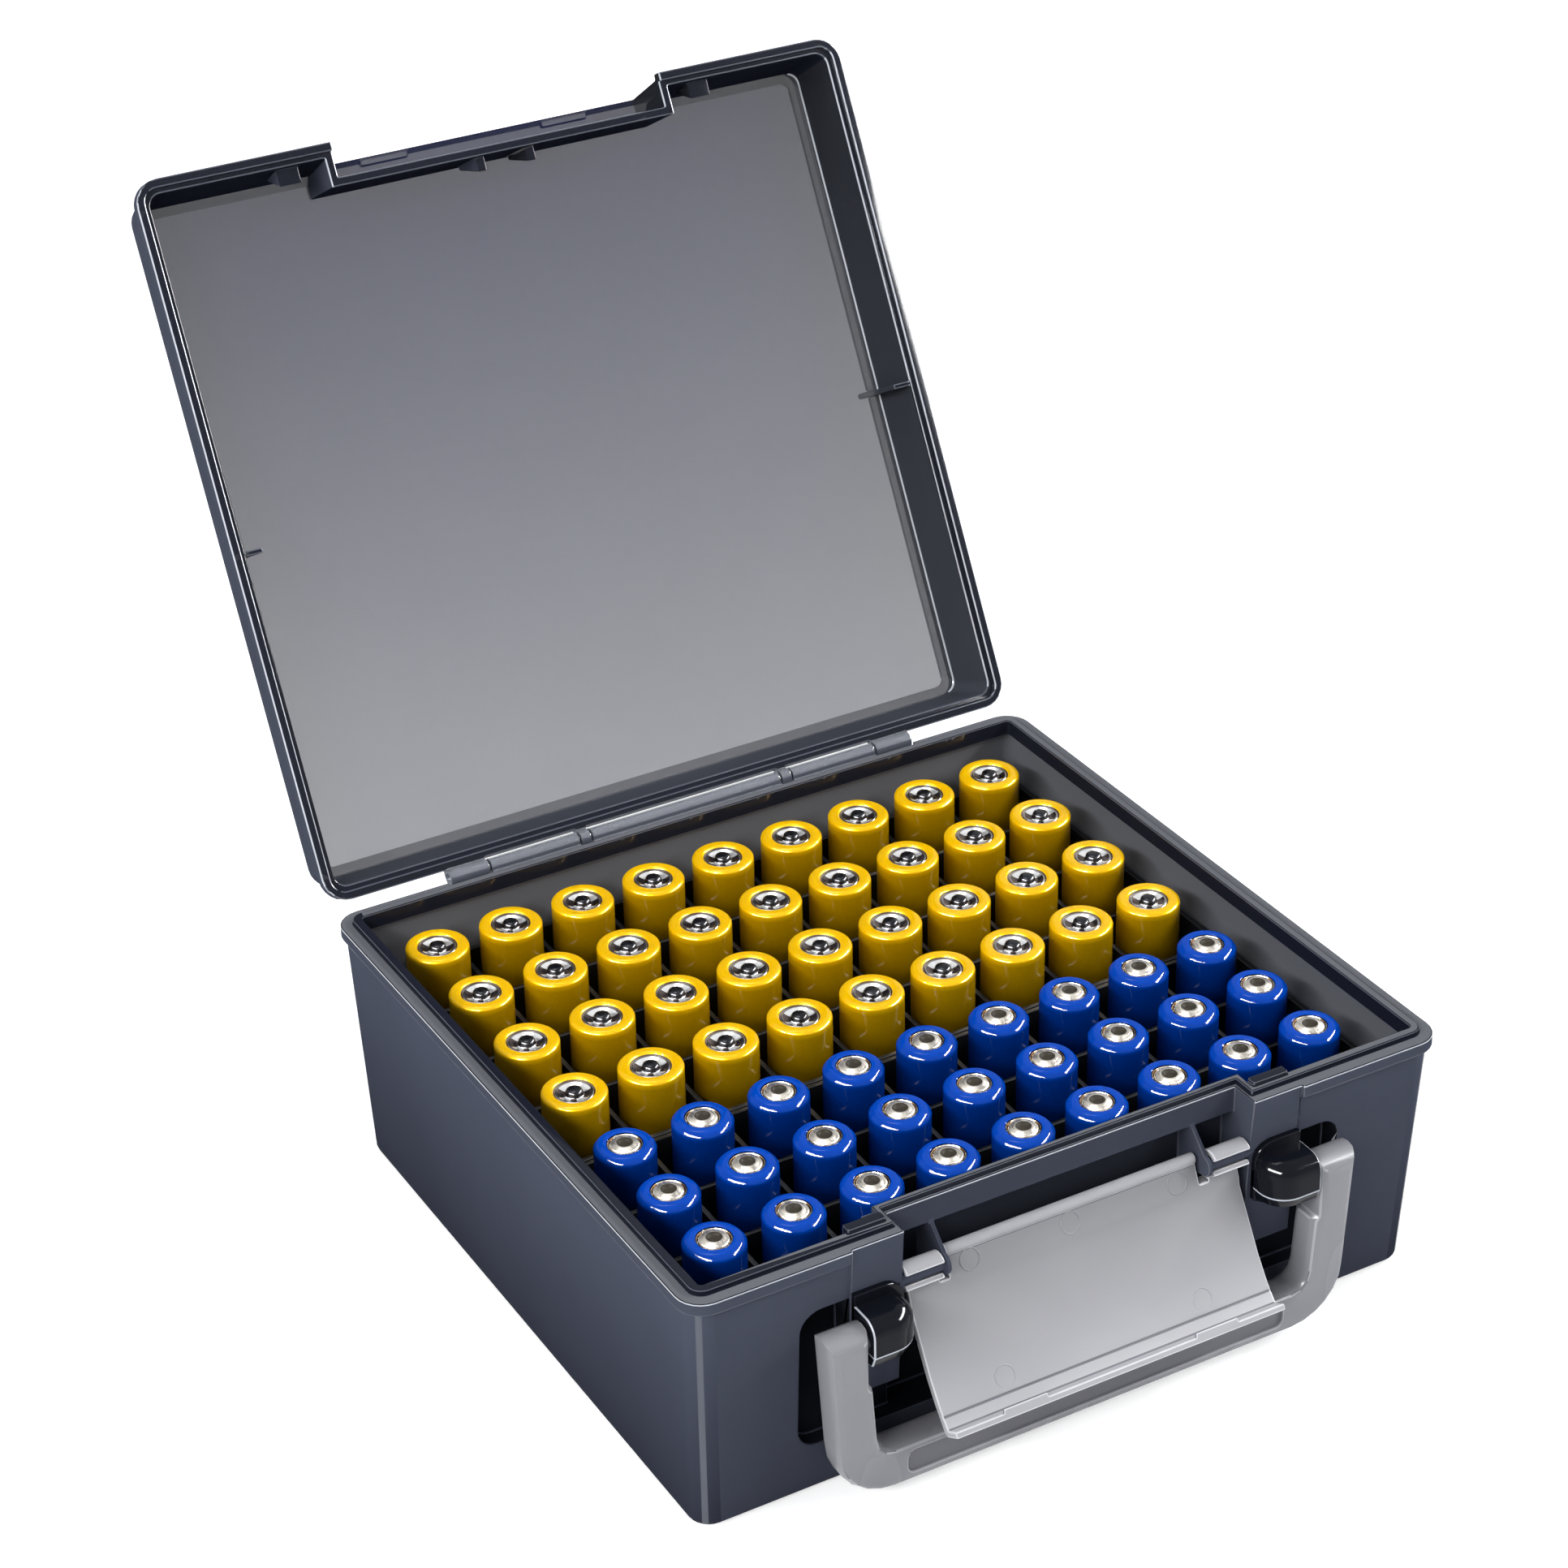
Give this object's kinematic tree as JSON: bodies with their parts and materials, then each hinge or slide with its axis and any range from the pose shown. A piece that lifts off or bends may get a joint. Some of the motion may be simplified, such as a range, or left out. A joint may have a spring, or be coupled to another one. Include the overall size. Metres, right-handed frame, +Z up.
{
  "type": "battery box",
  "caption": "Moulded carrying box for AA cells, with egg-crate trays, a hinged see-through lid, a swinging latch and a carrying handle.",
  "frame": {"origin": "Centre of the rectangle of the case's flat base, on the surface that the box stands on.", "axes": "+Z up, +Y from the latch side to the hinge side, +X to the right for someone facing the latch. The lid is shown open and leans back over +Y; the latch and the handle hang down in front."},
  "size_m": [0.1824, 0.2799, 0.2081],
  "materials": {
    "smoke_case": "smoke-coloured see-through moulding, polished",
    "smoke_lid": "lighter smoke-coloured see-through moulding, polished",
    "black_gloss": "glossy near-black moulding",
    "black_tray": "black moulding, satin",
    "latch_grey": "light grey moulding, satin",
    "handle_grey": "mid grey moulding, satin",
    "steel": "plain steel wire pin",
    "yellow_skin": "pearly yellow printed sleeve with bright metal contact",
    "blue_skin": "glossy blue printed sleeve with bright metal contact"
  },
  "bodies": {
    "case": {"case_body": "smoke_case", "hinge_pin": "steel", "yellow_cell_tray": "black_tray", "blue_cell_tray": "black_tray", "handle_bracket_right": "black_gloss", "handle_bracket_left": "black_gloss", "yellow_cell_r1_c1": "yellow_skin", "yellow_cell_r1_c2": "yellow_skin", "yellow_cell_r1_c3": "yellow_skin", "yellow_cell_r1_c4": "yellow_skin", "yellow_cell_r1_c5": "yellow_skin", "yellow_cell_r1_c6": "yellow_skin", "yellow_cell_r1_c7": "yellow_skin", "yellow_cell_r1_c8": "yellow_skin", "yellow_cell_r1_c9": "yellow_skin", "yellow_cell_r2_c1": "yellow_skin", "yellow_cell_r2_c2": "yellow_skin", "yellow_cell_r2_c3": "yellow_skin", "yellow_cell_r2_c4": "yellow_skin", "yellow_cell_r2_c5": "yellow_skin", "yellow_cell_r2_c6": "yellow_skin", "yellow_cell_r2_c7": "yellow_skin", "yellow_cell_r2_c8": "yellow_skin", "yellow_cell_r2_c9": "yellow_skin", "yellow_cell_r3_c1": "yellow_skin", "yellow_cell_r3_c2": "yellow_skin", "yellow_cell_r3_c3": "yellow_skin", "yellow_cell_r3_c4": "yellow_skin", "yellow_cell_r3_c5": "yellow_skin", "yellow_cell_r3_c6": "yellow_skin", "yellow_cell_r3_c7": "yellow_skin", "yellow_cell_r3_c8": "yellow_skin", "yellow_cell_r3_c9": "yellow_skin", "yellow_cell_r4_c1": "yellow_skin", "yellow_cell_r4_c2": "yellow_skin", "yellow_cell_r4_c3": "yellow_skin", "yellow_cell_r4_c4": "yellow_skin", "yellow_cell_r4_c5": "yellow_skin", "yellow_cell_r4_c6": "yellow_skin", "yellow_cell_r4_c7": "yellow_skin", "yellow_cell_r4_c8": "yellow_skin", "yellow_cell_r4_c9": "yellow_skin", "blue_cells_c1": "blue_skin", "blue_cells_c2": "blue_skin", "blue_cells_c3": "blue_skin", "blue_cells_c4": "blue_skin", "blue_cells_c5": "blue_skin", "blue_cells_c6": "blue_skin", "blue_cells_c7": "blue_skin", "blue_cells_c8": "blue_skin", "blue_cells_c9": "blue_skin"},
    "lid": {"lid": "smoke_lid"},
    "latch": {"latch": "latch_grey"},
    "handle": {"handle": "handle_grey"}
  },
  "joints": [
    {"name": "lid_hinge", "type": "hinge", "parent": "case", "child": "lid", "pos_m": [0, 0.08522, 0.05995], "axis": [1, 0, 0], "range_deg": [0, 118.4]},
    {"name": "latch_swing", "type": "hinge", "parent": "case", "child": "latch", "pos_m": [0, -0.08095, 0.0466], "axis": [-1, 0, 0], "range_deg": [0, 150]},
    {"name": "handle_swing", "type": "hinge", "parent": "case", "child": "handle", "pos_m": [0, -0.08709, 0.0405], "axis": [-1, 0, 0], "range_deg": [0, 100]}
  ]
}
